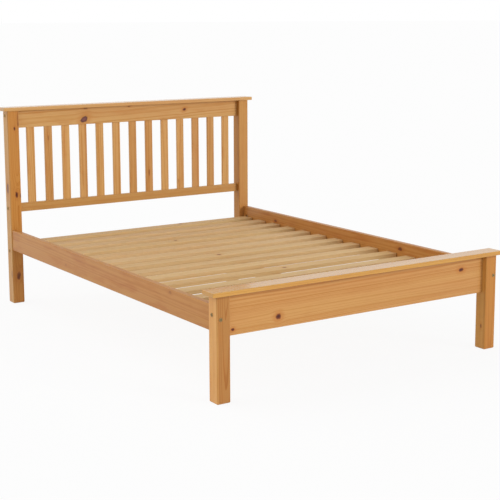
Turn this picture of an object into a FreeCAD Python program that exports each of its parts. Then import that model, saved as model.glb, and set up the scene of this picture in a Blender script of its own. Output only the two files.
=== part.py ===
import FreeCAD, Part
import math
import os
from collections import defaultdict
from FreeCAD import Vector

# Knock-down pine bed frame: slatted headboard, low foot end, side rails and a slatted base.
# X runs across the bed, Y from the foot end to the head end, Z up from the floor. Millimetres.

# The whole bed, measured over its posts
bed_width = 1440.0
bed_length = 2040.0

# Posts
post_size = 60.0
post_arris = 5.0
post_foot_ease = 3.0
foot_post_height = 418.0
head_post_height = 986.0

# Cap boards on top of both ends
cap_thickness = 18.0
cap_overhang = 10.0
cap_end_overhang = 22.0
cap_round = 3.0
cap_corner_ease = 3.0

# Rails between the two posts of one end
end_rail_thickness = 22.0
end_rail_setback = 24.0
foot_rail_height = 164.0
top_rail_height = 88.0
narrow_rail_height = 44.0
rail_arris = 3.0

# Upright slats of the headboard
headboard_slat_count = 13
headboard_slat_width = 42.0
headboard_slat_thickness = 12.0
headboard_slat_show = 386.0
headboard_slat_end_gap = 52.0
headboard_tenon = 12.0
mortise_clearance = 0.15
mortise_room = 0.5
slat_arris = 2.0

# Side rails, set above the underside of the foot rail
side_rail_thickness = 26.0
side_rail_height = 103.0
side_rail_rise = 24.0
side_rail_inset = 4.0

# Slatted base: cleats along the side rails, and the slats that lie across them
cleat_width = 25.0
cleat_height = 28.0
cleat_rise = 2.0
cleat_end_gap = 5.0
bed_slat_count = 14
bed_slat_width = 70.0
bed_slat_thickness = 18.0
bed_slat_side_gap = 2.0
bed_slat_post_gap = 15.0

# Centre rail, its hangers and its leg
centre_rail_width = 32.0
centre_rail_height = 44.0
centre_rail_end_gap = 1.0
head_bottom_rail_drop = 16.0
hanger_thickness = 2.0
hanger_height = 26.0
hanger_depth = 40.0
hanger_ear = 20.0
hanger_clearance = 0.3
leg_size = 44.0
stud_diameter = 8.0
stud_length = 70.0
stud_clearance = 0.15
glide_diameter = 36.0
glide_thickness = 5.0
glide_ease = 1.5
glide_pin_diameter = 5.0
glide_pin_length = 16.0
glide_pin_clearance = 0.15

# Connector bolts and their barrel nuts
bolt_diameter = 8.0
bolt_reach = 42.0
bolt_tip = 1.0
bolt_head_diameter = 15.0
bolt_head_thickness = 2.5
bolt_head_ease = 1.0
bolt_socket = 5.0
bolt_socket_depth = 3.0
bolt_clearance = 0.3
bolt_end_room = 4.0
nut_diameter = 14.0
nut_length = 16.0
nut_depth = 32.0
nut_ease = 0.8
nut_slot_width = 1.8
nut_slot_depth = 1.5
nut_clearance = 0.2
thread_clearance = 0.1
crossing_bolt_rise = 14.5
top_rail_bolt_drop = 25.0

# Dowels
dowel_diameter = 8.0
dowel_length = 32.0
dowel_ease = 1.0
dowel_clearance = 0.15
dowel_end_room = 1.0
side_rail_dowel_spacing = 64.0
foot_rail_dowel_spacing = 104.0
top_rail_dowel_rise = 25.0
narrow_rail_dowel_drop = 13.0
cap_dowel_length = 25.0
cap_dowel_in_cap = 11.0
cap_dowel_spacing = 400.0

# Countersunk wood screws
screw_diameter = 4.0
screw_head_diameter = 8.0
screw_head_depth = 2.3
screw_tip = 4.0
screw_clearance = 0.1
bed_slat_screw_length = 38.0
cleat_screw_length = 42.0
hanger_screw_length = 18.0
hanger_screw_spacing = 14.0

# Cutting tools run this far past an open face
overcut = 1.0

# Places worked out from the sizes above
X = Vector(1, 0, 0)
Y = Vector(0, 1, 0)
Z = Vector(0, 0, 1)
half_width = bed_width / 2
half_length = bed_length / 2
post_inner_x = half_width - post_size
post_inner_y = half_length - post_size
foot_rail_y = -half_length + end_rail_setback
head_rail_y = post_inner_y + end_rail_setback
foot_rail_bottom = foot_post_height - foot_rail_height
side_rail_bottom = foot_rail_bottom + side_rail_rise
top_rail_bottom = head_post_height - top_rail_height
lower_rail_top = top_rail_bottom - headboard_slat_show
lower_rail_bottom = lower_rail_top - narrow_rail_height
side_rail_outer_x = half_width - side_rail_inset
side_rail_inner_x = side_rail_outer_x - side_rail_thickness
side_rail_middle_z = side_rail_bottom + side_rail_height / 2
cleat_inner_x = side_rail_inner_x - cleat_width
cleat_bottom = side_rail_bottom + cleat_rise
cleat_top = cleat_bottom + cleat_height
deck_top = cleat_top + bed_slat_thickness
centre_rail_bottom = cleat_top - centre_rail_height
bottom_rail_bottom = centre_rail_bottom - head_bottom_rail_drop
foot_rail_inner_y = foot_rail_y + end_rail_thickness
hanger_bottom = centre_rail_bottom - hanger_thickness

# Every piece's blank, the shapes that are cut from it, and the groups of like fasteners
pieces = {}
cuts = defaultdict(list)
fasteners = defaultdict(list)


def edges_along(shape, axis):
    """Straight edges of a shape that run along an axis."""
    return [edge for edge in shape.Edges if abs(edge.tangentAt(edge.FirstParameter).dot(axis)) > 0.999]


def bar(low, high, axis, arris):
    """Planed bar between two corners, its four long edges rounded."""
    size = high - low
    blank = Part.makeBox(size.x, size.y, size.z, low)
    return blank.makeFillet(arris, edges_along(blank, axis))


def turned(profile):
    """Solid of revolution about Z from (radius, height) points that start and end on the axis."""
    points = [Vector(radius, 0, height) for radius, height in profile]
    outline = Part.makePolygon(points + points[:1])
    return Part.Face(outline).revolve(Vector(), Z, 360)


def aimed(shape, start, direction):
    """Copy of a shape made up the Z axis, set to run from start along direction."""
    copy = shape.copy()
    copy.Placement = FreeCAD.Placement(start, FreeCAD.Rotation(Z, direction))
    return copy


def hole(diameter, clearance, start, direction, length):
    """Round cutting tool from start along direction."""
    return Part.makeCylinder(diameter / 2 + clearance, length, start, direction)


def connector_bolt(length):
    """Bolt up the Z axis, its flat eased head below Z 0, with a hexagon socket in the head."""
    head = bolt_head_diameter / 2
    shank = bolt_diameter / 2
    bolt = turned([
        (0, -bolt_head_thickness),
        (head - bolt_head_ease, -bolt_head_thickness),
        (head, bolt_head_ease - bolt_head_thickness),
        (head, 0),
        (shank, 0),
        (shank, length - bolt_tip),
        (shank - bolt_tip, length),
        (0, length),
    ])
    corner = bolt_socket / math.sqrt(3)
    angles = [math.pi / 3 * step for step in range(7)]
    ring = [Vector(corner * math.cos(a), corner * math.sin(a), -bolt_head_thickness) for a in angles]
    socket = Part.Face(Part.makePolygon(ring)).extrude(Z * bolt_socket_depth)
    return bolt.cut(socket)


def barrel_nut():
    """Barrel nut centred on the origin along Z, with a screwdriver slot in its upper end."""
    radius = nut_diameter / 2
    half = nut_length / 2
    nut = turned([
        (0, -half),
        (radius - nut_ease, -half),
        (radius, nut_ease - half),
        (radius, half - nut_ease),
        (radius - nut_ease, half),
        (0, half),
    ])
    slot = Part.makeBox(
        nut_diameter, nut_slot_width, nut_slot_depth,
        Vector(-radius, -nut_slot_width / 2, half - nut_slot_depth),
    )
    return nut.cut(slot)


def dowel(length):
    """Wooden dowel up the Z axis with eased ends."""
    radius = dowel_diameter / 2
    return turned([
        (0, 0),
        (radius - dowel_ease, 0),
        (radius, dowel_ease),
        (radius, length - dowel_ease),
        (radius - dowel_ease, length),
        (0, length),
    ])


def screw(length, clearance=0.0):
    """Countersunk screw up the Z axis from the flat of its head; with clearance, its hole."""
    head = screw_head_diameter / 2 + clearance
    shank = screw_diameter / 2 + clearance
    return turned([
        (0, 0),
        (head, 0),
        (shank, screw_head_depth),
        (shank, length - screw_tip),
        (0, length + clearance),
    ])


def drive_screw(group, passed, start, direction, length):
    """Puts a screw in place and its hole through every piece that it passes."""
    fasteners[group].append(aimed(screw(length), start, direction))
    for piece in passed:
        cuts[piece].append(aimed(screw(length, screw_clearance), start, direction))


def peg(group, place, direction, lower, lower_depth, upper, length):
    """Dowel across the face between two pieces, lower_depth of it in the lower one."""
    start = place - direction * lower_depth
    drilled = length + 2 * dowel_end_room
    tool = hole(dowel_diameter, dowel_clearance, start - direction * dowel_end_room, direction, drilled)
    fasteners[group].append(aimed(dowel(length), start, direction))
    cuts[lower].append(tool)
    cuts[upper].append(tool)


def bolted_end(rail_kind, post, rail, middle, inward, nut_way, thickness, bolt_rise, dowel_rises):
    """Bolts and dowels the end of a rail to a post.

    middle is the centre of the rail's end on the post's face. inward points from the post into
    the rail, and nut_way from the rail's middle to the face that its barrel nut goes in from.
    """
    bolt_face = middle + Z * bolt_rise
    seat = bolt_face - inward * post_size
    fasteners[rail_kind + "_bolts"].append(aimed(connector_bolt(post_size + bolt_reach), seat, inward))
    cuts[post].append(hole(
        bolt_diameter, bolt_clearance, seat - inward * overcut, inward, post_size + 2 * overcut))
    cuts[rail].append(hole(
        bolt_diameter, bolt_clearance, bolt_face - inward * overcut, inward,
        overcut + bolt_reach + bolt_end_room))
    nut_place = bolt_face + inward * nut_depth
    thread = hole(
        bolt_diameter, thread_clearance, nut_place - inward * nut_diameter, inward, 2 * nut_diameter)
    fasteners[rail_kind + "_barrel_nuts"].append(aimed(barrel_nut(), nut_place, nut_way).cut(thread))
    nut_back = nut_place - nut_way * (nut_length / 2 + nut_clearance)
    cuts[rail].append(hole(
        nut_diameter, nut_clearance, nut_back, nut_way,
        nut_length / 2 + nut_clearance + thickness / 2 + overcut))
    for rise in dowel_rises:
        peg(rail_kind + "_dowels", middle + Z * rise, inward, post, dowel_length / 2, rail, dowel_length)


def make_post(name, side, face_y, height):
    """Square post from the floor up; face_y is its face towards the foot of the bed."""
    x_low, x_high = sorted((side * post_inner_x, side * half_width))
    blank = bar(Vector(x_low, face_y, 0), Vector(x_high, face_y + post_size, height), Z, post_arris)
    floor_edges = [edge for edge in blank.Edges if edge.BoundBox.ZMax < post_foot_ease]
    pieces[name] = blank.makeChamfer(post_foot_ease, floor_edges)


def make_cap(name, face_y, bottom, rail_y, rail_name, post_names):
    """Cap board over two posts and the rail between them, rounded all round and held on dowels."""
    low = Vector(-half_width - cap_end_overhang, face_y - cap_overhang, bottom)
    high = Vector(half_width + cap_end_overhang, face_y + post_size + cap_overhang, bottom + cap_thickness)
    rounded = bar(low, high, X, cap_round).common(bar(low, high, Y, cap_round))
    pieces[name] = rounded.common(bar(low, high, Z, cap_corner_ease))
    depth = cap_dowel_length - cap_dowel_in_cap
    post_y = face_y + post_size / 2
    for side, post in zip((-1, 1), post_names):
        place = Vector(side * (half_width - post_size / 2), post_y, bottom)
        peg("cap_dowels", place, Z, post, depth, name, cap_dowel_length)
    for step in (-1, 0, 1):
        place = Vector(step * cap_dowel_spacing, rail_y + end_rail_thickness / 2, bottom)
        peg("cap_dowels", place, Z, rail_name, depth, name, cap_dowel_length)


def make_end_rail(name, rail_y, bottom, top, post_names, bolt_z, dowel_heights):
    """Rail between the two posts of one end, bolted through the posts from outside."""
    low = Vector(-post_inner_x, rail_y, bottom)
    high = Vector(post_inner_x, rail_y + end_rail_thickness, top)
    pieces[name] = bar(low, high, X, rail_arris)
    for side, post in zip((-1, 1), post_names):
        middle = Vector(side * post_inner_x, rail_y + end_rail_thickness / 2, (bottom + top) / 2)
        rises = [height - middle.z for height in dowel_heights]
        bolted_end(
            "end_rail", post, name, middle, X * -side, Y, end_rail_thickness, bolt_z - middle.z, rises)


def make_headboard_slats():
    """Upright slats, each with both ends let into mortises in the rails above and below."""
    first_x = headboard_slat_end_gap + headboard_slat_width / 2 - post_inner_x
    pitch = -2 * first_x / (headboard_slat_count - 1)
    slat_low = lower_rail_top - headboard_tenon
    slat_high = top_rail_bottom + headboard_tenon
    middle_y = head_rail_y + end_rail_thickness / 2
    half = Vector(headboard_slat_width / 2, headboard_slat_thickness / 2, 0)
    room = Vector(mortise_clearance, mortise_clearance, mortise_room)
    for number in range(headboard_slat_count):
        centre = Vector(first_x + pitch * number, middle_y, 0)
        low = centre - half + Z * slat_low
        high = centre + half + Z * slat_high
        mortise = bar(low - room, high + room, Z, slat_arris + mortise_clearance)
        pieces[f"headboard_slat_{number + 1:02d}"] = bar(low, high, Z, slat_arris)
        cuts["headboard_top_rail"].append(mortise)
        cuts["headboard_lower_rail"].append(mortise)


def make_side_rail(name, side, foot_post, head_post):
    """Side rail between a foot post and a head post, bolted through both posts."""
    x_low, x_high = sorted((side * side_rail_inner_x, side * side_rail_outer_x))
    low = Vector(x_low, -post_inner_y, side_rail_bottom)
    high = Vector(x_high, post_inner_y, side_rail_bottom + side_rail_height)
    pieces[name] = bar(low, high, Y, rail_arris)
    rises = (-side_rail_dowel_spacing / 2, side_rail_dowel_spacing / 2)
    for end, post in ((-1, foot_post), (1, head_post)):
        middle = Vector((x_low + x_high) / 2, end * post_inner_y, side_rail_middle_z)
        bolted_end("side_rail", post, name, middle, Y * -end, X * -side, side_rail_thickness, 0, rises)


def bed_slat_places():
    """Middle lines of the bed slats, evenly spaced between the posts of both ends."""
    first_y = bed_slat_post_gap + bed_slat_width / 2 - post_inner_y
    pitch = -2 * first_y / (bed_slat_count - 1)
    return [first_y + pitch * number for number in range(bed_slat_count)]


def make_cleat(name, side, rail):
    """Cleat under the slats' ends, screwed to the side rail between every second pair of slats."""
    x_low, x_high = sorted((side * cleat_inner_x, side * side_rail_inner_x))
    half = post_inner_y - cleat_end_gap
    pieces[name] = bar(Vector(x_low, -half, cleat_bottom), Vector(x_high, half, cleat_top), Y, slat_arris)
    places = bed_slat_places()
    for before, after in list(zip(places, places[1:]))[::2]:
        start = Vector(side * cleat_inner_x, (before + after) / 2, (cleat_bottom + cleat_top) / 2)
        drive_screw("cleat_screws", (name, rail), start, X * side, cleat_screw_length)


def make_bed_slats():
    """Slats across the bed, each screwed down to both cleats."""
    end_x = side_rail_inner_x - bed_slat_side_gap
    screw_x = side_rail_inner_x - cleat_width / 2
    for number, middle_y in enumerate(bed_slat_places(), start=1):
        name = f"bed_slat_{number:02d}"
        low = Vector(-end_x, middle_y - bed_slat_width / 2, cleat_top)
        high = Vector(end_x, middle_y + bed_slat_width / 2, deck_top)
        pieces[name] = bar(low, high, X, slat_arris)
        for side, cleat in ((-1, "slat_cleat_left"), (1, "slat_cleat_right")):
            start = Vector(side * screw_x, middle_y, deck_top)
            drive_screw("bed_slat_screws", (name, cleat), start, -Z, bed_slat_screw_length)


def make_hanger(name, rail, face_y, way):
    """Folded steel stirrup: a seat and two cheeks round the rail's end, and two screwed ears."""
    inner = centre_rail_width / 2 + hanger_clearance
    outer = inner + hanger_thickness
    top = hanger_bottom + hanger_height
    section = [
        (-outer, top), (-outer, hanger_bottom), (outer, hanger_bottom), (outer, top),
        (inner, top), (inner, centre_rail_bottom), (-inner, centre_rail_bottom), (-inner, top),
    ]
    outline = [Vector(x, face_y, z) for x, z in section]
    stirrup = Part.Face(Part.makePolygon(outline + outline[:1])).extrude(Y * way * hanger_depth)
    ear_y = min(face_y, face_y + way * hanger_thickness)
    for side in (-1, 1):
        ear_x = min(side * outer, side * (outer + hanger_ear))
        ear = Part.makeBox(hanger_ear, hanger_thickness, hanger_height, Vector(ear_x, ear_y, hanger_bottom))
        stirrup = stirrup.fuse(ear)
        for rise in (-hanger_screw_spacing / 2, hanger_screw_spacing / 2):
            start = Vector(
                side * (outer + hanger_ear / 2), face_y + way * hanger_thickness,
                hanger_bottom + hanger_height / 2 + rise)
            drive_screw("hanger_screws", (name, rail), start, Y * -way, hanger_screw_length)
    pieces[name] = stirrup.removeSplitter()


def make_centre_support():
    """Rail along the middle of the bed under the slats, with a leg and a glide at mid length."""
    half = centre_rail_width / 2
    pieces["centre_rail"] = bar(
        Vector(-half, foot_rail_inner_y + centre_rail_end_gap, centre_rail_bottom),
        Vector(half, head_rail_y - centre_rail_end_gap, cleat_top), Y, slat_arris)
    make_hanger("centre_rail_hanger_foot", "footboard_rail", foot_rail_inner_y, 1)
    make_hanger("centre_rail_hanger_head", "head_bottom_rail", head_rail_y, -1)
    half = leg_size / 2
    pieces["centre_leg"] = bar(
        Vector(-half, -half, glide_thickness), Vector(half, half, centre_rail_bottom), Z, rail_arris)
    stud_start = Vector(0, 0, centre_rail_bottom - stud_length / 2)
    pieces["centre_leg_stud"] = Part.makeCylinder(stud_diameter / 2, stud_length, stud_start, Z)
    stud_hole = hole(
        stud_diameter, stud_clearance, stud_start - Z * dowel_end_room, Z, stud_length + 2 * dowel_end_room)
    cuts["centre_rail"].append(stud_hole)
    cuts["centre_leg"].append(stud_hole)
    rim = glide_diameter / 2
    pin = glide_pin_diameter / 2
    pin_top = glide_thickness + glide_pin_length
    pieces["centre_leg_glide"] = turned([
        (0, 0), (rim - glide_ease, 0), (rim, glide_ease), (rim, glide_thickness),
        (pin, glide_thickness), (pin, pin_top), (0, pin_top),
    ])
    cuts["centre_leg"].append(hole(
        glide_pin_diameter, glide_pin_clearance, Vector(0, 0, glide_thickness - overcut), Z,
        overcut + glide_pin_length + dowel_end_room))


foot_posts = ("foot_post_left", "foot_post_right")
head_posts = ("head_post_left", "head_post_right")
for side, foot_post, head_post in zip((-1, 1), foot_posts, head_posts):
    make_post(foot_post, side, -half_length, foot_post_height)
    make_post(head_post, side, post_inner_y, head_post_height)

foot_rail_middle = (foot_rail_bottom + foot_post_height) / 2
make_end_rail(
    "footboard_rail", foot_rail_y, foot_rail_bottom, foot_post_height, foot_posts,
    side_rail_middle_z + crossing_bolt_rise,
    (foot_rail_middle - foot_rail_dowel_spacing / 2, foot_rail_middle + foot_rail_dowel_spacing / 2))
make_end_rail(
    "headboard_top_rail", head_rail_y, top_rail_bottom, head_post_height, head_posts,
    head_post_height - top_rail_bolt_drop, (top_rail_bottom + top_rail_dowel_rise,))
for name, bottom in (("headboard_lower_rail", lower_rail_bottom), ("head_bottom_rail", bottom_rail_bottom)):
    middle = bottom + narrow_rail_height / 2
    make_end_rail(
        name, head_rail_y, bottom, bottom + narrow_rail_height, head_posts, middle,
        (middle - narrow_rail_dowel_drop,))
make_cap("footboard_cap", -half_length, foot_post_height, foot_rail_y, "footboard_rail", foot_posts)
make_cap("headboard_cap", post_inner_y, head_post_height, head_rail_y, "headboard_top_rail", head_posts)
make_headboard_slats()

make_side_rail("side_rail_left", -1, foot_posts[0], head_posts[0])
make_side_rail("side_rail_right", 1, foot_posts[1], head_posts[1])
make_cleat("slat_cleat_left", -1, "side_rail_left")
make_cleat("slat_cleat_right", 1, "side_rail_right")
make_bed_slats()
make_centre_support()

os.makedirs("parts", exist_ok=True)
for name, blank in pieces.items():
    solid = blank.cut(cuts[name]) if cuts[name] else blank
    solid.Solids[0].exportStep(f"parts/{name}.step")
for name, group in fasteners.items():
    Part.makeCompound(group).exportStep(f"parts/{name}.step")
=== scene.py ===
import math
from collections import namedtuple

import bpy
import numpy as np
from mathutils import Matrix, Vector


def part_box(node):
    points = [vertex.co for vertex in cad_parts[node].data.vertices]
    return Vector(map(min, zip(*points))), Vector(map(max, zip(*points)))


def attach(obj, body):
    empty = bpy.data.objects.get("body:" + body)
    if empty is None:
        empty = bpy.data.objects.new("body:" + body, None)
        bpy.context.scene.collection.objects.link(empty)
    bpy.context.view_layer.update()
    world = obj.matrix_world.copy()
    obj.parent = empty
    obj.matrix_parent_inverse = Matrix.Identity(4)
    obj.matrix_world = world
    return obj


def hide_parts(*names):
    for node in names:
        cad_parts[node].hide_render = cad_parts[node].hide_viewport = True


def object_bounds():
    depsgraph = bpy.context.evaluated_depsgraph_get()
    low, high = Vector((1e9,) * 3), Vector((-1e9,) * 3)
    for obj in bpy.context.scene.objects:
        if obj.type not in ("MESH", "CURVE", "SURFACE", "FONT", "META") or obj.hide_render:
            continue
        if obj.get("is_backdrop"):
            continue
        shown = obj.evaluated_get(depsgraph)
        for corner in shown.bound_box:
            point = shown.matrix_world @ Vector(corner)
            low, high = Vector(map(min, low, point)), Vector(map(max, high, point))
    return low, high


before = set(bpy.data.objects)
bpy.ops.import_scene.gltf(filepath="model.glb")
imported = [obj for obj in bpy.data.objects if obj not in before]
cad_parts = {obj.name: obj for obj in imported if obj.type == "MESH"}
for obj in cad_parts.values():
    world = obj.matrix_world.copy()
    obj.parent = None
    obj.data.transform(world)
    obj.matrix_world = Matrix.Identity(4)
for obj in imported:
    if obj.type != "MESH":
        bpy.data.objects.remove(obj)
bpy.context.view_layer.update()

# Head posts
# Two tall posts of planed pine, 60 mm square, stained honey and lacquered satin.
# Their long edges are rounded over, and the rails are bolted through them from outside.


class Wire:
    """An output socket of a material's nodes. Arithmetic on wires adds Math nodes."""

    def __init__(self, socket):
        self.socket = socket
        self.tree = socket.id_data

    def node(self, kind, settings=(), inputs=(), output=0):
        """Adds a node of any kind: its settings first, then its sockets' values or wires."""
        new = self.tree.nodes.new(kind)
        for name, value in dict(settings).items():
            setattr(new, name, value)
        plug(new, inputs)
        return Wire(new.outputs[output])

    def math(self, operation, first, second=0.0):
        """Adds a Math node on one or two numbers or wires."""
        return self.node("ShaderNodeMath", {"operation": operation}, {0: first, 1: second})

    def vector(self, operation, other=(0, 0, 0), output=0):
        """Adds a Vector Math node on this vector and another."""
        inputs = {0: self, 1: other}
        return self.node("ShaderNodeVectorMath", {"operation": operation}, inputs, output)

    def __add__(self, other):
        return self.math("ADD", self, other)

    def __radd__(self, other):
        return self.math("ADD", other, self)

    def __sub__(self, other):
        return self.math("SUBTRACT", self, other)

    def __rsub__(self, other):
        return self.math("SUBTRACT", other, self)

    def __mul__(self, other):
        return self.math("MULTIPLY", self, other)

    def __rmul__(self, other):
        return self.math("MULTIPLY", other, self)

    def __truediv__(self, other):
        return self.math("DIVIDE", self, other)

    def __rtruediv__(self, other):
        return self.math("DIVIDE", other, self)

    def length(self):
        return self.vector("LENGTH", output="Value")

    def part(self, axis):
        """One of the three numbers of a vector."""
        return self.node("ShaderNodeSeparateXYZ", inputs={0: self}, output=int(axis))

    def step(self, low, high):
        """0 at low, 1 at high and smooth between, whichever of the two is larger."""
        settings = {"interpolation_type": "SMOOTHSTEP", "clamp": True}
        inputs = {"Value": self, "From Min": low, "From Max": high}
        return self.node("ShaderNodeMapRange", settings, inputs)

    def mix(self, bare, covered, blend="MIX"):
        """Colour between two, or one times the other, with this wire as the share of the second."""
        settings = {"data_type": "RGBA", "blend_type": blend}
        return self.node("ShaderNodeMix", settings, {0: self, 6: bare, 7: covered}, output=2)


def plug(node, inputs):
    """Sets a node's sockets, each to a value or to a wire."""
    for name, value in dict(inputs).items():
        if isinstance(value, Wire):
            value.tree.links.new(node.inputs[name], value.socket)
        else:
            node.inputs[name].default_value = value


def paint(red, green, blue, tone=1.0):
    """Linear colour of an sRGB one given from 0 to 255, times one tone or a tone for each part."""
    share = np.array([red, green, blue]) / 255
    linear = np.where(share > 0.04045, ((share + 0.055) / 1.055) ** 2.4, share / 12.92) * tone
    return (*linear.tolist(), 1.0)


def new_finish(name):
    """A material, the place on the object as a wire, and the material's surface shader."""
    material = bpy.data.materials.new(name)
    material.use_nodes = True
    shader = material.node_tree.nodes["Principled BSDF"]
    place = Wire(shader.outputs[0]).node("ShaderNodeTexCoord", output="Object")
    return material, place, shader


def dress(name, material):
    """Gives a CAD piece its finish."""
    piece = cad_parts[name]
    for slot in piece.material_slots:
        slot.material = material


def noise(place, across, stretch=(1, 1, 1), start=0.0, detail=2.0):
    """Cloudy noise from 0 to 1, its clouds as wide as across and stretched along some axes."""
    scale = [1 / (across * part) for part in stretch]
    moved = place.node(
        "ShaderNodeMapping", inputs={"Vector": place, "Location": (start,) * 3, "Scale": scale})
    return place.node("ShaderNodeTexNoise", inputs={"Vector": moved, "Scale": 1.0, "Detail": detail})


# A noise in the wood: how wide its clouds are, how many times longer they are along the grain,
# where it starts, so that no two are alike, and how fine its detail is.
Clouds = namedtuple("Clouds", "across stretch start detail", defaults=(2.0,))
BROAD = Clouds(0.060, 14.0, 0.0)
RIPPLE = Clouds(0.020, 14.0, 3.0)
FLAME = Clouds(0.026, 6.0, 11.0, 3.0)
FIBRE = Clouds(0.0011, 60.0, 7.0, 3.0)


def wood_noise(place, clouds, along, start):
    """Noise with its clouds drawn out along the grain."""
    stretch = [1.0, 1.0, 1.0]
    stretch[along] = clouds.stretch
    return noise(place, clouds.across, stretch, start + clouds.start, clouds.detail)


# A knot is where a branch grew out through the wood: a point on it, the axis it runs along, its
# radius, how many times longer it is along the grain, its turn on the face, how much of it shows,
# and whether it is live, darkest at its core, or dead, with a dark rim of bark.
Knot = namedtuple(
    "Knot", "point branch radius stretch turn shows kind", defaults=(1.0, 0.0, 1.0, "live"))

# Knots are uneven, and the grain swerves round them. Distances are in knot radii.
KNOT_CLOUDS = 0.9
KNOT_UNEVEN = 0.8
KNOT_PULL = 0.8
KNOT_PULL_FADE = 0.22
KNOT_RIM = (0.25, 0.95)
KNOT_EDGE = (1.15, 0.75)
KNOT_HALO = (2.9, 1.1)
HALO_SHARE = 0.55


def place_knots(place, along, knots):
    """Bends the grain round each knot, and gives how many knot radii away each one's heart is."""
    bent = place
    distances = []
    for number, knot in enumerate(knots):
        side = 3 - along - knot.branch
        size = [1.0, 1.0, 1.0]
        size[along] = knot.radius * knot.stretch
        size[side] = knot.radius
        angles = [0.0, 0.0, 0.0]
        angles[knot.branch] = knot.turn
        centred = place.node(
            "ShaderNodeMapping", {"vector_type": "TEXTURE"},
            {"Vector": place, "Location": knot.point, "Rotation": angles, "Scale": size})
        away = centred.length() + (noise(centred, KNOT_CLOUDS, start=number) - 0.5) * KNOT_UNEVEN
        pull = place.math("EXPONENT", away * away * -KNOT_PULL_FADE) * KNOT_PULL
        only_side = [float(axis == side) for axis in range(3)]
        offset = place.vector("SUBTRACT", knot.point).vector("MULTIPLY", only_side)
        bent = bent.vector("SUBTRACT", offset.node(
            "ShaderNodeVectorMath", {"operation": "SCALE"}, {0: offset, "Scale": pull}))
        distances.append(away)
    return bent, distances


def paint_knots(wood, colour, knots, distances):
    """Lays each knot over the wood: a darker halo, and the knot itself from its core to its rim."""
    for knot, away in zip(knots, distances):
        wood = (away.step(*KNOT_HALO) * (HALO_SHARE * knot.shows)).mix(wood, colour["halo"])
        inside = away.step(*KNOT_RIM).mix(colour[knot.kind + " core"], colour[knot.kind + " rim"])
        wood = (away.step(*KNOT_EDGE) * knot.shows).mix(wood, inside)
    return wood


# How far the rings swing and ripple, and how far apart and how strong runs of good years are.
# Late wood darkens through a share of each year and then stops short, in some years more than others.
RING_SWING = 0.022
RING_RIPPLE = 0.002
GOOD_YEARS_APART = 0.0036
GOOD_YEARS = 1.6
LATE_RISE = (0.40, 0.93)
LATE_STOP = (1.0, 0.96)
YEARS_DIFFER = 0.5


def year_rings(side, deep, ring, ripple):
    """Distance from the pith, and how far into its late wood each place in the wood is.

    The distance over the width of a ring, plus what good years add, counts the years. Its whole
    part picks a year, and the rest is the season.
    """
    reach = side.math("SQRT", side * side + deep * deep) + (ripple - 0.5) * RING_RIPPLE
    good = reach.node(
        "ShaderNodeTexNoise", {"noise_dimensions": "1D"}, {"W": reach / GOOD_YEARS_APART, "Scale": 1.0})
    age = reach / ring + good * GOOD_YEARS
    season = age.math("FRACT", age)
    count = age.math("FLOOR", age)
    year = age.node("ShaderNodeTexWhiteNoise", {"noise_dimensions": "1D"}, {"W": count})
    strength = year * YEARS_DIFFER + (1 - YEARS_DIFFER)
    return reach, season.step(*LATE_RISE) * season.step(*LATE_STOP) * strength


# How far in from its box a bar's edge starts to look lighter, and where it looks so in full.
# The lighter edge is partly rubbed wear and partly a painted highlight on the rounding.
ARRIS = 0.006
ARRIS_FULL = 0.0015


def arris_share(place, middle, half):
    """1 on a bar's rounded edges, where the second least of the distances to its box is small."""
    inside = place.vector("SUBTRACT", middle).vector("ABSOLUTE")
    depth = inside.node("ShaderNodeVectorMath", {"operation": "SUBTRACT"}, {0: half, 1: inside})
    x, y, z = (depth.part(axis) for axis in range(3))
    lesser = x.math("MINIMUM", x, y)
    greater = x.math("MAXIMUM", x, y)
    second = x.math("MAXIMUM", lesser, x.math("MINIMUM", greater, z))
    return second.step(ARRIS, ARRIS_FULL)


# The colours that honey stain gives to each part of the wood, and the lacquer over them.
HONEY = {
    "early": (204, 148, 78),
    "late": (179, 110, 36),
    "warm": (198, 134, 70),
    "heart": (184, 114, 50),
    "flame": (186, 114, 46),
    "fibre": (172, 110, 44),
    "edge": (212, 160, 84),
    "end": (184, 128, 60),
    "halo": (186, 112, 44),
    "live core": (78, 36, 22),
    "live rim": (134, 68, 32),
    "dead core": (118, 70, 56),
    "dead rim": (88, 46, 34),
}
LACQUER = {"roughness": 0.40, "shine": 0.25, "coat": 0.10, "coat roughness": 0.25}

# Where each colour of the wood sets in, on its noise or in metres, and how much of it is laid on.
WARM_CLOUDS = (0.40, 0.75)
WARM_SHARE = 0.4
HEART_BLUR = 0.007
HEART_SHARE = 0.75
FLAME_CLOUDS = (0.46, 0.74)
FIBRE_CLOUDS = (0.45, 0.80)
FIBRE_SHARE = 0.1
FIBRE_IN_RINGS = 0.25
EDGE_CLOUDS = (0.25, 0.60)
EDGE_WEAR_AND_HIGHLIGHT = 0.18
END_DEPTH = 0.0008
END_DEPTH_FULL = 0.0002
END_SHARE = 0.6
# Painted shade laid on the wood just under a cap, where the cap's shadow falls.
PAINTED_CAP_SHADE = (0.78, 0.74, 0.72, 1.0)

# The relief of the grain under the lacquer, and how much the lacquer's gloss varies.
LATE_RELIEF = 0.6
FIBRE_RELIEF = 0.4
RELIEF_DEPTH = 0.0003
RELIEF_STRENGTH = 0.2
GLOSS_CLOUDS = 0.16
LATE_GLOSS = 0.04


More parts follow.
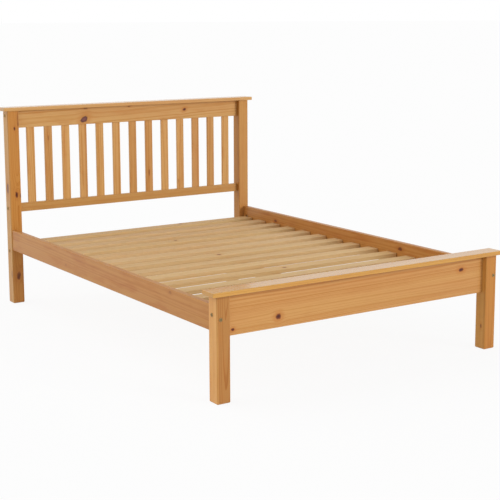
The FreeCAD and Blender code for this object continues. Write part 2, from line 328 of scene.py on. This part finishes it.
def pine(name, pith, lean=(0.0, 0.0), ring=0.0045, bold=0.5, heart=0.0, flames=0.25, knots=(),
         tone=1.0, stain=HONEY, lacquer=LACQUER, start=0.0, cap_shade=None):
    """Solid pine cut from one tree: year rings round the pith, which runs beside the piece.

    pith is the pith's place across and through the piece from its middle, and lean how far it
    drifts per metre of length, so the same rings show as cathedrals, straight lines or end grain.
    ring is how wide a year is, bold how much its late wood darkens, heart the radius of the redder
    heartwood, and flames how much darker the long patches are where the stain sank in deeper. tone
    makes the stain lighter or darker, and start tells one piece's noise from another's. cap_shade
    is the height of a corner under a cap and how far down from it the wood is painted darker, as
    painted shade for the cap's shadow.
    """
    material, place, shader = new_finish(name + "_pine")
    low, high = (np.array(corner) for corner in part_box(name))
    middle = (low + high) / 2
    half = (high - low) / 2
    # The axes from the thinnest to the longest. Of two alike to 0.1 mm, the later one comes first.
    through, across, along = sorted(range(3), key=lambda axis: (round(half[axis], 4), -axis))
    colour = {part: paint(*stain[part], tone) for part in stain}
    noises = (wood_noise(place, clouds, along, start) for clouds in (BROAD, RIPPLE, FLAME, FIBRE))
    broad, ripple, flame, fibre = noises
    bent, distances = place_knots(place, along, knots)

    run = bent.part(along) - middle[along]
    swing = (broad - 0.5) * RING_SWING
    side = bent.part(across) - (middle[across] + pith[0]) - run * lean[0] + swing
    deep = bent.part(through) - (middle[through] + pith[1]) - run * lean[1]
    reach, late = year_rings(side, deep, ring, ripple)

    wood = (broad.step(*WARM_CLOUDS) * WARM_SHARE).mix(colour["early"], colour["warm"])
    if heart:
        blurred = reach + (ripple - 0.5) * HEART_BLUR
        core = blurred.step(heart + HEART_BLUR, heart - HEART_BLUR)
        wood = (core * HEART_SHARE).mix(wood, colour["heart"])
    wood = (flame.step(*FLAME_CLOUDS) * flames).mix(wood, colour["flame"])
    ring_shade = [dark / light for dark, light in zip(colour["late"], colour["early"])]
    wood = (late * bold).mix(wood, ring_shade, "MULTIPLY")
    fibre_share = FIBRE_SHARE + FIBRE_IN_RINGS * bold
    wood = (fibre.step(*FIBRE_CLOUDS) * fibre_share).mix(wood, colour["fibre"])
    # Rounded edges are painted lighter: partly rubbed wear, partly a painted highlight.
    arris = arris_share(place, middle, half) * ripple.step(*EDGE_CLOUDS)
    wood = (arris * EDGE_WEAR_AND_HIGHLIGHT).mix(wood, colour["edge"])
    from_middle = place.vector("SUBTRACT", middle).vector("ABSOLUTE").part(along)
    end_grain = from_middle.step(half[along] - END_DEPTH, half[along] - END_DEPTH_FULL)
    wood = (end_grain * END_SHARE).mix(wood, colour["end"])
    wood = paint_knots(wood, colour, knots, distances)
    # Painted shade: the wood just under a cap is painted darker, as the cap's shadow.
    if cap_shade:
        corner, depth = cap_shade
        shaded_under_cap = place.part(2).step(corner - depth, corner - depth / 2)
        wood = shaded_under_cap.mix(wood, PAINTED_CAP_SHADE, "MULTIPLY")

    relief = late * LATE_RELIEF + fibre * FIBRE_RELIEF
    bump = relief.node("ShaderNodeBump", inputs={
        "Strength": RELIEF_STRENGTH, "Distance": RELIEF_DEPTH, "Height": relief})
    plug(shader, {
        "Base Color": wood,
        "Roughness": lacquer["roughness"] + (ripple - 0.5) * GLOSS_CLOUDS - late * LATE_GLOSS,
        "Specular IOR Level": lacquer["shine"],
        "Coat Weight": lacquer["coat"],
        "Coat Roughness": lacquer["coat roughness"],
        "Normal": bump,
    })
    dress(name, material)


head_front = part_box("head_post_left")[0].y
post_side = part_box("head_post_left")[0].x
pine(
    "head_post_left", pith=(0.010, -0.060), lean=(0.0, 0.006), ring=0.005, bold=0.7, heart=0.050,
    tone=(0.92, 1.06, 1.40), stain=HONEY | {"heart": (198, 123, 45)}, knots=(
        Knot((-0.685, head_front, 0.897), 1, 0.005, 2.0),
        Knot((-0.666, head_front, 0.940), 1, 0.005, 8.0, shows=0.45),
        Knot((-0.665, head_front, 0.920), 1, 0.004, 3.0, shows=0.5),
        Knot((-0.685, head_front, 0.561), 1, 0.0075, 2.2, -0.15),
        Knot((-0.664, head_front, 0.555), 1, 0.005, 2.0, shows=0.6),
        Knot((-0.688, head_front, 0.142), 1, 0.011, 2.0, 0.15),
        Knot((post_side, 0.990, 0.592), 0, 0.012, 2.2, kind="dead", shows=0.8),
        Knot((post_side, 0.971, 0.152), 0, 0.008, 2.6, kind="dead", shows=0.4),
    ))
pine(
    "head_post_right", pith=(-0.050, 0.040), lean=(0.014, 0.0), ring=0.0035, bold=0.5, heart=0.066,
    tone=(0.885, 0.91, 1.02), stain=HONEY | {"heart": (175, 115, 35)}, start=2.0)

# Headboard rails
# Three pine boards between the head posts: a broad one on top, a narrow one under the slats
# and a narrow one low down, where the middle support hangs. Each is bolted and doweled.

rail_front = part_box("headboard_top_rail")[0].y
pine(
    "headboard_top_rail", pith=(0.012, 0.085), lean=(0.045, 0.0), ring=0.008, bold=0.75, flames=0.4,
    tone=(0.985, 1.16, 1.66), start=4.0, knots=(
        Knot((-0.287, rail_front, 0.923), 1, 0.015, 1.5, -0.6, kind="dead"),
        Knot((0.318, rail_front, 0.949), 1, 0.008, 1.5, -0.4),
        Knot((-0.278, rail_front, 0.981), 1, 0.005, 2.6, shows=0.6),
        Knot((-0.022, rail_front, 0.981), 1, 0.004, 2.4, shows=0.6),
    ))
pine(
    "headboard_lower_rail", pith=(0.030, 0.040), lean=(0.010, 0.0), tone=(0.88, 0.98, 1.25),
    start=6.0)
pine(
    "head_bottom_rail", pith=(-0.035, 0.030), lean=(0.012, 0.0), tone=(0.92, 1.05, 1.30),
    start=8.0)

# Headboard slats
# Thirteen thin upright slats of pine, planed on four sides and mortised into the rails.
# They are cut from two boards, a pale and a darker one, and their grain varies.

PALE_BOARD = np.array([1.01, 1.155, 1.60])
DARK_BOARD = np.array([0.92, 0.99, 1.30])
slats = sorted(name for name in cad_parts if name.startswith("headboard_slat_"))
dark_slats = [f"headboard_slat_{number:02d}" for number in (2, 7, 8, 11, 12)]
slat_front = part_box(slats[0])[0].y
slat_knots = {
    "headboard_slat_02": Knot((-0.490, slat_front, 0.837), 1, 0.004, 4.0, shows=0.4),
    "headboard_slat_08": Knot((0.096, slat_front, 0.615), 1, 0.004, 5.0, shows=0.6),
    "headboard_slat_10": Knot((0.280, slat_front, 0.555), 1, 0.004, 3.0, shows=0.4),
}
chance = np.random.default_rng(13)
for number, name in enumerate(slats):
    board = DARK_BOARD if name in dark_slats else PALE_BOARD
    tone = board * chance.uniform(0.98, 1.02)
    pith = (chance.uniform(-0.05, 0.05), chance.uniform(0.02, 0.07))
    lean = (chance.uniform(-0.04, 0.04), 0.0)
    knots = [slat_knots[name]] if name in slat_knots else []
    pine(
        name, pith, lean, ring=0.0055, bold=1.0, flames=0.45, tone=tone, start=20.0 + number,
        knots=knots)

# Headboard and footboard caps
# Flat pine boards that stand out all round over the posts and rails, doweled down on them.
# Their edges are rounded, and the lacquer on their tops is the smoothest on the bed.

SMOOTH_LACQUER = {"roughness": 0.26, "shine": 0.4, "coat": 0.35, "coat roughness": 0.12}
pine(
    "headboard_cap", pith=(0.015, 0.030), lean=(0.012, 0.0), tone=(1.01, 1.15, 1.50),
    lacquer=SMOOTH_LACQUER, start=40.0)
pine(
    "footboard_cap", pith=(0.020, 0.040), lean=(-0.012, 0.0), tone=(1.03, 1.09, 0.78),
    lacquer=SMOOTH_LACQUER, start=43.0)

# Foot posts and footboard rail
# Two short pine posts, and one broad board bolted between them, up against the cap. It is cut
# well away from the pith, so its rings show as long, nearly straight lines. Just under the cap
# their wood is painted darker, as painted shade for the cap's shadow.

# How far down from the cap the painted shade reaches, on the posts and on the rail.
POST_CAP_SHADE_DEPTH = 0.012
RAIL_CAP_SHADE_DEPTH = 0.024
foot_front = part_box("footboard_rail")[0].y
inner_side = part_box("foot_post_right")[0].x
cap_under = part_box("footboard_cap")[0].z
pine(
    "foot_post_left", pith=(0.010, -0.060), lean=(0.008, 0.025), ring=0.0055, bold=0.8, heart=0.050,
    tone=(1.185, 1.29, 1.62), stain=HONEY | {"heart": (148, 93, 38)}, start=50.0,
    cap_shade=(cap_under, POST_CAP_SHADE_DEPTH))
pine(
    "foot_post_right", pith=(0.004, -0.060), lean=(0.004, 0.012), ring=0.0055, bold=0.55,
    heart=0.050, tone=(1.06, 1.11, 1.03), stain=HONEY | {"heart": (180, 114, 52)}, start=53.0,
    cap_shade=(cap_under, POST_CAP_SHADE_DEPTH), knots=(
        Knot((inner_side, -0.996, 0.102), 0, 0.004, 2.6, shows=0.7),
    ))
pine(
    "footboard_rail", pith=(0.160, 0.100), lean=(0.012, 0.0), ring=0.010, bold=0.9, flames=0.12,
    tone=(0.99, 1.055, 1.33), start=56.0, cap_shade=(cap_under, RAIL_CAP_SHADE_DEPTH), knots=(
        Knot((-0.4235, foot_front, 0.298), 1, 0.0125, 1.05, -0.5),
        Knot((-0.635, foot_front, 0.277), 1, 0.006, 1.4),
        Knot((0.5335, foot_front, 0.370), 1, 0.0085, 1.7),
    ))

# Side rails
# Two long boards between the posts, held by one bolt and two dowels at each end.
# Their pine is pinker and finer in the grain than the rest.

# Each knot's place along and up its rail, its radius and how much of it shows.
side_rail_knots = {
    "side_rail_left": ((-0.661, 0.368, 0.007, 0.3), (0.320, 0.312, 0.005, 0.3)),
    "side_rail_right": (
        (-0.410, 0.350, 0.009, 0.8), (0.180, 0.306, 0.006, 0.6), (0.640, 0.340, 0.008, 0.7)),
}
for number, (name, spots) in enumerate(side_rail_knots.items()):
    low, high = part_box(name)
    heart_line = (low.x + high.x) / 2
    knots = [
        Knot((heart_line, run, rise), 0, radius, 1.8, shows=shows)
        for run, rise, radius, shows in spots]
    pine(
        name, pith=(0.050, 0.060), lean=(0.012, 0.0), ring=0.006, bold=0.5, flames=0.55,
        tone=(0.84, 0.79, 0.78), start=60.0 + 3 * number, knots=knots)

# Cleats and bed slats
# A square batten is screwed along the inside of each side rail, and fourteen flat slats
# lie across the two, screwed down. They are planed pine, left bare.

BARE = {
    "early": (218, 184, 134),
    "late": (200, 158, 104),
    "warm": (214, 174, 124),
    "flame": (204, 162, 110),
    "fibre": (188, 146, 96),
    "edge": (224, 194, 148),
    "end": (184, 142, 92),
    "halo": (200, 152, 96),
    "live core": (124, 76, 50),
    "live rim": (158, 100, 62),
}
PLANED = {"roughness": 0.62, "shine": 0.25, "coat": 0.0, "coat roughness": 0.25}
KNOT_INSET = 0.015
for number, name in enumerate(("slat_cleat_left", "slat_cleat_right")):
    pine(
        name, pith=(0.020, 0.035), lean=(0.008, 0.0), stain=BARE, lacquer=PLANED,
        start=70.0 + 3 * number)
bed_slats = sorted(
    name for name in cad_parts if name.startswith("bed_slat_") and name[-1].isdigit())
for number, name in enumerate(bed_slats):
    pith = (chance.uniform(-0.05, 0.05), chance.uniform(-0.07, -0.02))
    tone = chance.uniform(0.93, 1.02) * np.array([1.0, 1.0, chance.uniform(0.95, 1.03)])
    low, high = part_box(name)
    knots = []
    if number % 3 == 1:
        across = chance.uniform(-0.5, 0.5)
        along = chance.uniform(low.y + KNOT_INSET, high.y - KNOT_INSET)
        radius = chance.uniform(0.006, 0.011)
        knots.append(Knot((across, along, high.z), 2, radius, chance.uniform(1.1, 1.5)))
    lean = (chance.uniform(-0.02, 0.02), 0.0)
    pine(
        name, pith, lean, ring=0.0055, bold=0.8, tone=tone, stain=BARE, lacquer=PLANED,
        start=80.0 + number, knots=knots)

# Middle support
# A bare pine rail runs under the slats from the foot rail to the head's bottom rail in two
# folded steel hangers. A short leg with a steel stud and a nylon glide holds it up at the middle.

pine(
    "centre_rail", pith=(0.020, 0.030), lean=(0.006, 0.0), stain=BARE, lacquer=PLANED, start=100.0)
pine(
    "centre_leg", pith=(0.030, 0.030), lean=(0.010, 0.0), stain=BARE, lacquer=PLANED, start=103.0)

# Patches and specks on zinc: their widths, where they set in on their noise, how dark they are
# beside the clear metal, and how much the gloss varies. The floor of a socket is painted darker
# still, as painted shade, within a distance that fades at its edge.
PATCH = 0.006
PATCH_CLOUDS = (0.3, 0.7)
PATCH_SHADE = 0.88
SPECK = 0.0012
SPECK_CLOUDS = (0.68, 0.76)
SPECK_SHADE = 0.62
SPECK_SHARE = 0.5
PATCH_GLOSS = 0.2
SOCKET_SHADE = 0.15
SOCKET_EDGE = (0.0006, 0.0003)


def plated(name, colour, roughness, painted_socket_shade=None):
    """Zinc plated steel: a clear metal with faint cloudy patches and a few darker specks.

    painted_socket_shade is an axis and a distance along it on either side of the bed's middle, at
    which lie the floors of sockets. They get no light, so their metal is painted dark as shade.
    """
    material, place, shader = new_finish(name)
    patch = noise(place, PATCH, detail=3.0)
    speck = noise(place, SPECK, start=5.0).step(*SPECK_CLOUDS)
    metal = patch.step(*PATCH_CLOUDS).mix(paint(*colour, PATCH_SHADE), paint(*colour))
    metal = (speck * SPECK_SHARE).mix(metal, paint(*colour, SPECK_SHADE))
    # Painted shade: the floor of each socket is painted dark, where no light reaches.
    if painted_socket_shade:
        axis, reach = painted_socket_shade
        apart = place.math("ABSOLUTE", place.part(axis)) - reach
        unlit = place.math("ABSOLUTE", apart).step(*SOCKET_EDGE)
        metal = unlit.mix(metal, paint(*colour, SOCKET_SHADE))
    plug(shader, {
        "Base Color": metal,
        "Metallic": 1.0,
        "Roughness": roughness + (patch - 0.5) * PATCH_GLOSS,
    })
    return material


bright_zinc = plated("bright_zinc", (196, 199, 202), roughness=0.34)
for name in ("centre_rail_hanger_foot", "centre_rail_hanger_head", "centre_leg_stud"):
    dress(name, bright_zinc)


def mottled(name, across, detail, clouds, pale, dark, roughness, spread):
    """A plain matt material with darker clouds of noise, and rougher where it is darker."""
    material, place, shader = new_finish(name)
    cloud = noise(place, across, detail=detail)
    plug(shader, {
        "Base Color": cloud.step(*clouds).mix(paint(*pale), paint(*dark)),
        "Roughness": roughness + (cloud - 0.5) * spread,
    })
    return material


nylon = mottled(
    "glide_nylon", across=0.004, detail=4.0, clouds=(0.45, 0.70), pale=(226, 222, 208),
    dark=(196, 190, 174), roughness=0.42, spread=0.3)
dress("centre_leg_glide", nylon)

# Connector bolts, barrel nuts and dowels
# Flat-headed steel bolts with hexagon sockets, plated with yellow zinc, pull each rail against its
# post, into barrel nuts in the rail's hidden face. Plain beech dowels keep the joints and the caps
# in line.

YELLOW_ZINC = (172, 146, 102)
SOCKET_DEPTH = 0.003
for name, axis in (("side_rail_bolts", 1), ("end_rail_bolts", 0)):
    socket_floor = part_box(name)[1][axis] - SOCKET_DEPTH
    yellow_zinc = plated(
        name + "_yellow_zinc", YELLOW_ZINC, roughness=0.5, painted_socket_shade=(axis, socket_floor))
    dress(name, yellow_zinc)
for name in ("side_rail_barrel_nuts", "end_rail_barrel_nuts"):
    dress(name, bright_zinc)

beech = mottled(
    "dowel_beech", across=0.0008, detail=3.0, clouds=(0.40, 0.70), pale=(214, 176, 134),
    dark=(184, 140, 98), roughness=0.6, spread=0.2)
for name in ("side_rail_dowels", "end_rail_dowels", "cap_dowels"):
    dress(name, beech)

# Wood screws
# Countersunk zinc screws with cross recesses hold the slats, the cleats and the hangers.
# They are rolled from wire, with a plain neck under the head and a coarse thread to the point.

SCREW_SIDES = 24
SCREW_HEAD = 0.004
SCREW_HEAD_DEPTH = 0.0023
SCREW_RIM = 0.0003
SCREW_NECK = 0.002
SCREW_CORE = 0.0014
SCREW_POINT = 0.004
THREAD_PITCH = 0.0018
THREAD_ROWS = 6
PLAIN_SHARE = 0.35
RECESS_ARM = 0.0022
RECESS_DEPTH = 0.0016
RECESS_TAPER = 0.55


def screw_form(length):
    """Points, walls and fans of one screw, its head flat at z 0 and its point straight down.

    Rings of points follow each other from the middle of the recess to the point. The recess is a
    plus sign: on each bearing its edge is the nearer of the arm's end and the arm's side. In the
    thread a ring's radius swings between core and neck as a triangle wave of depth less bearing.
    """
    bearing = np.arange(SCREW_SIDES) * 2 * np.pi / SCREW_SIDES
    greater = np.maximum(abs(np.cos(bearing)), abs(np.sin(bearing)))
    lesser = np.minimum(abs(np.cos(bearing)), abs(np.sin(bearing)))
    arm_side = RECESS_ARM * math.tan(2 * math.pi / SCREW_SIDES)
    never_zero = 1e-6
    plus = np.minimum(RECESS_ARM / greater, arm_side / np.maximum(lesser, never_zero))
    level = np.ones(SCREW_SIDES)
    thread_top = length * PLAIN_SHARE
    count = int((length - SCREW_POINT - thread_top) / THREAD_PITCH * THREAD_ROWS)
    depth = thread_top + np.arange(1, count + 1)[:, None] * THREAD_PITCH / THREAD_ROWS
    turn = depth / THREAD_PITCH - bearing / (2 * np.pi)
    crest = 1 - abs(2 * (turn - np.floor(turn)) - 1)
    thread = SCREW_CORE + (SCREW_NECK - SCREW_CORE) * crest
    radius = np.vstack([
        plus * RECESS_TAPER, plus, level * SCREW_HEAD, level * SCREW_HEAD, level * SCREW_NECK,
        level * SCREW_NECK, thread])
    height = np.vstack([
        -level * RECESS_DEPTH, 0 * level, 0 * level, -level * SCREW_RIM, -level * SCREW_HEAD_DEPTH,
        -level * thread_top, -depth * level])
    rings = np.stack([radius * np.cos(bearing), radius * np.sin(bearing), height], axis=-1)
    points = np.vstack([[[0, 0, -RECESS_DEPTH]], rings.reshape(-1, 3), [[0, 0, -length]]])

    row = 1 + np.arange(len(rings) - 1)[:, None] * SCREW_SIDES
    here = row + np.arange(SCREW_SIDES)
    next_on = row + (np.arange(SCREW_SIDES) + 1) % SCREW_SIDES
    walls = np.stack([here, here + SCREW_SIDES, next_on + SCREW_SIDES, next_on], axis=-1)
    recess_middle = np.zeros_like(here[0])
    tip = np.full_like(here[0], len(points) - 1)
    recess_fan = np.stack([recess_middle, here[0], next_on[0]], axis=-1)
    tip_fan = np.stack([tip, next_on[-1] + SCREW_SIDES, here[-1] + SCREW_SIDES], axis=-1)
    return points, walls.reshape(-1, 4), np.vstack([recess_fan, tip_fan])


def drive_screws(node, length, heads, ways):
    """One mesh of like screws in place of a CAD group: head places, and the ways they point.

    Each screw has a chance spin round its way. Two directions square to that way and the way back
    out of the wood are the rows of its turn, and each screw's points are numbered after the last's.
    """
    points, walls, fans = screw_form(length)
    ways = np.array(ways, dtype=float)
    spin = chance.uniform(0, 2 * np.pi, len(ways))[:, None]
    flat = np.roll(ways, 1, axis=1)
    other = np.cross(ways, flat)
    first = np.cos(spin) * flat + np.sin(spin) * other
    turned = np.stack([first, np.cross(first, ways), -ways], axis=1)
    placed = points @ turned + np.array(heads)[:, None, :]
    begin = np.arange(len(ways))[:, None, None] * len(points)
    faces = (walls + begin).reshape(-1, 4).tolist() + (fans + begin).reshape(-1, 3).tolist()
    mesh = bpy.data.meshes.new(node + "_cross_head")
    mesh.from_pydata(placed.reshape(-1, 3), [], faces)
    mesh.materials.append(bright_zinc)
    piece = bpy.data.objects.new(node + "_cross_head", mesh)
    bpy.context.scene.collection.objects.link(piece)
    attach(piece, "root")
    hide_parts(node)


SLAT_SCREW = 0.038
cleat_boxes = [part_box("slat_cleat_left"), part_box("slat_cleat_right")]
slat_boxes = [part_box(name) for name in bed_slats]
slat_lines = [(low.y + high.y) / 2 for low, high in slat_boxes]
deck_top = slat_boxes[0][1].z
heads = [((low.x + high.x) / 2, line, deck_top) for line in slat_lines for low, high in cleat_boxes]
drive_screws("bed_slat_screws", SLAT_SCREW, heads, [(0, 0, -1)] * len(heads))

CLEAT_SCREW = 0.042
heads = []
ways = []
# Every other gap between slats has a screw in its middle.
for (low, high), side in zip(cleat_boxes, (-1, 1)):
    inner_face = high.x if side < 0 else low.x
    for before, after in list(zip(slat_lines, slat_lines[1:]))[::2]:
        heads.append((inner_face, (before + after) / 2, (low.z + high.z) / 2))
        ways.append((side, 0, 0))
drive_screws("cleat_screws", CLEAT_SCREW, heads, ways)

HANGER_SCREW = 0.018
EAR_MIDDLE = 0.010
STEEL = 0.002
SCREW_RISE = 0.007
heads = []
ways = []
for name, way in (("centre_rail_hanger_foot", -1), ("centre_rail_hanger_head", 1)):
    low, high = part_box(name)
    face = low.y + STEEL if way < 0 else high.y - STEEL
    for across in (low.x + EAR_MIDDLE, high.x - EAR_MIDDLE):
        for rise in (-SCREW_RISE, SCREW_RISE):
            heads.append((across, face, (low.z + high.z) / 2 + rise))
            ways.append((0, way, 0))
drive_screws("hanger_screws", HANGER_SCREW, heads, ways)

# Studio
# A wide pale floor that keeps the bed's soft shadow, and an even white room. One soft lamp shines
# from the front right, and a broader one from the left behind the bed.

# The floor is a pale matt grey, and most of what is seen of it is plain white, so that the shadow
# on the rest stays faint.
FLOOR_REACH = 400.0
FLOOR_GREY = 0.9
FLOOR_WHITE = 0.90
floor_mesh = bpy.data.meshes.new("floor")
corners = [(-FLOOR_REACH, -FLOOR_REACH, 0), (FLOOR_REACH, -FLOOR_REACH, 0),
           (FLOOR_REACH, FLOOR_REACH, 0), (-FLOOR_REACH, FLOOR_REACH, 0)]
floor_mesh.from_pydata(corners, [], [(0, 1, 2, 3)])
floor = bpy.data.objects.new("floor", floor_mesh)
bpy.context.scene.collection.objects.link(floor)
floor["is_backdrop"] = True


def seen_rays(surface):
    """1 for the rays that show the room itself, straight, in a gloss or through a clear surface."""
    straight = surface.node("ShaderNodeLightPath", output="Is Camera Ray")
    gloss = surface.node("ShaderNodeLightPath", output="Is Glossy Ray")
    clear = surface.node("ShaderNodeLightPath", output="Is Transmission Ray")
    return (straight + gloss + clear).step(0.0, 1.0)


floor_paint, _, shader = new_finish("floor_paint")
plug(shader, {
    "Base Color": (FLOOR_GREY, FLOOR_GREY, FLOOR_GREY, 1.0),
    "Roughness": 0.9,
    "Specular IOR Level": 0.0,
})
matt = Wire(shader.outputs[0])
white = matt.node("ShaderNodeEmission")
share = seen_rays(matt) * FLOOR_WHITE
blend = matt.node("ShaderNodeMixShader", inputs={0: share, 1: matt, 2: white})
plug(floor_paint.node_tree.nodes["Material Output"], {"Surface": blend})
floor_mesh.materials.append(floor_paint)

ROOM_LIGHT = 0.58
world = bpy.data.worlds.new("white_room")
world.use_nodes = True
bpy.context.scene.world = world
background = world.node_tree.nodes["Background"]
seen = seen_rays(Wire(background.outputs[0]))
plug(background, {
    "Color": (1.0, 1.0, 1.0, 1.0),
    "Strength": ROOM_LIGHT + seen * (1.0 - ROOM_LIGHT),
})


def lamp(name, source, energy, width):
    """Far soft lamp that shines from a direction and looks as wide as an angle in degrees.

    It isn't mirrored, so that lacquer shows the even room and no glare from any side.
    """
    light = bpy.data.lights.new(name, "SUN")
    light.energy = energy
    light.angle = math.radians(width)
    piece = bpy.data.objects.new(name, light)
    piece.rotation_euler = (-Vector(source)).to_track_quat("-Z", "Y").to_euler()
    piece.visible_glossy = False
    bpy.context.scene.collection.objects.link(piece)


lamp("front_lamp", source=(0.45, -0.85, 0.17), energy=1.62, width=25)
lamp("left_lamp", source=(-0.62, 0.62, 0.45), energy=1.55, width=80)

# Camera
# It stands at the near left of the foot end, a little above the headboard, and looks slightly
# down. Its lens is a long one, and is shifted a little, which keeps the posts more upright.

# In pixels: the picture's side, the row that the lens points at, and the focal length.
PHOTO_SIDE = 500.0
VIEW_MIDDLE = 212.0
FOCAL_PIXELS = 1199.8
EYE = (-3.0097, -4.7267, 1.4438)
YAW, PITCH, ROLL = (math.radians(angle) for angle in (-33.348, 9.187, -0.177))

camera_data = bpy.data.cameras.new("camera")
camera_data.sensor_width = 36.0
camera_data.lens = camera_data.sensor_width * FOCAL_PIXELS / PHOTO_SIDE
camera_data.shift_y = (VIEW_MIDDLE - PHOTO_SIDE / 2) / PHOTO_SIDE
camera = bpy.data.objects.new("camera", camera_data)
tilt = Matrix.Rotation(math.pi / 2 - PITCH, 4, "X")
turn = Matrix.Rotation(YAW, 4, "Z") @ tilt @ Matrix.Rotation(ROLL, 4, "Z")
camera.matrix_world = Matrix.Translation(EYE) @ turn
bpy.context.scene.collection.objects.link(camera)
bpy.context.scene.camera = camera
bpy.context.scene.view_settings.view_transform = "Standard"

low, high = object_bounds()
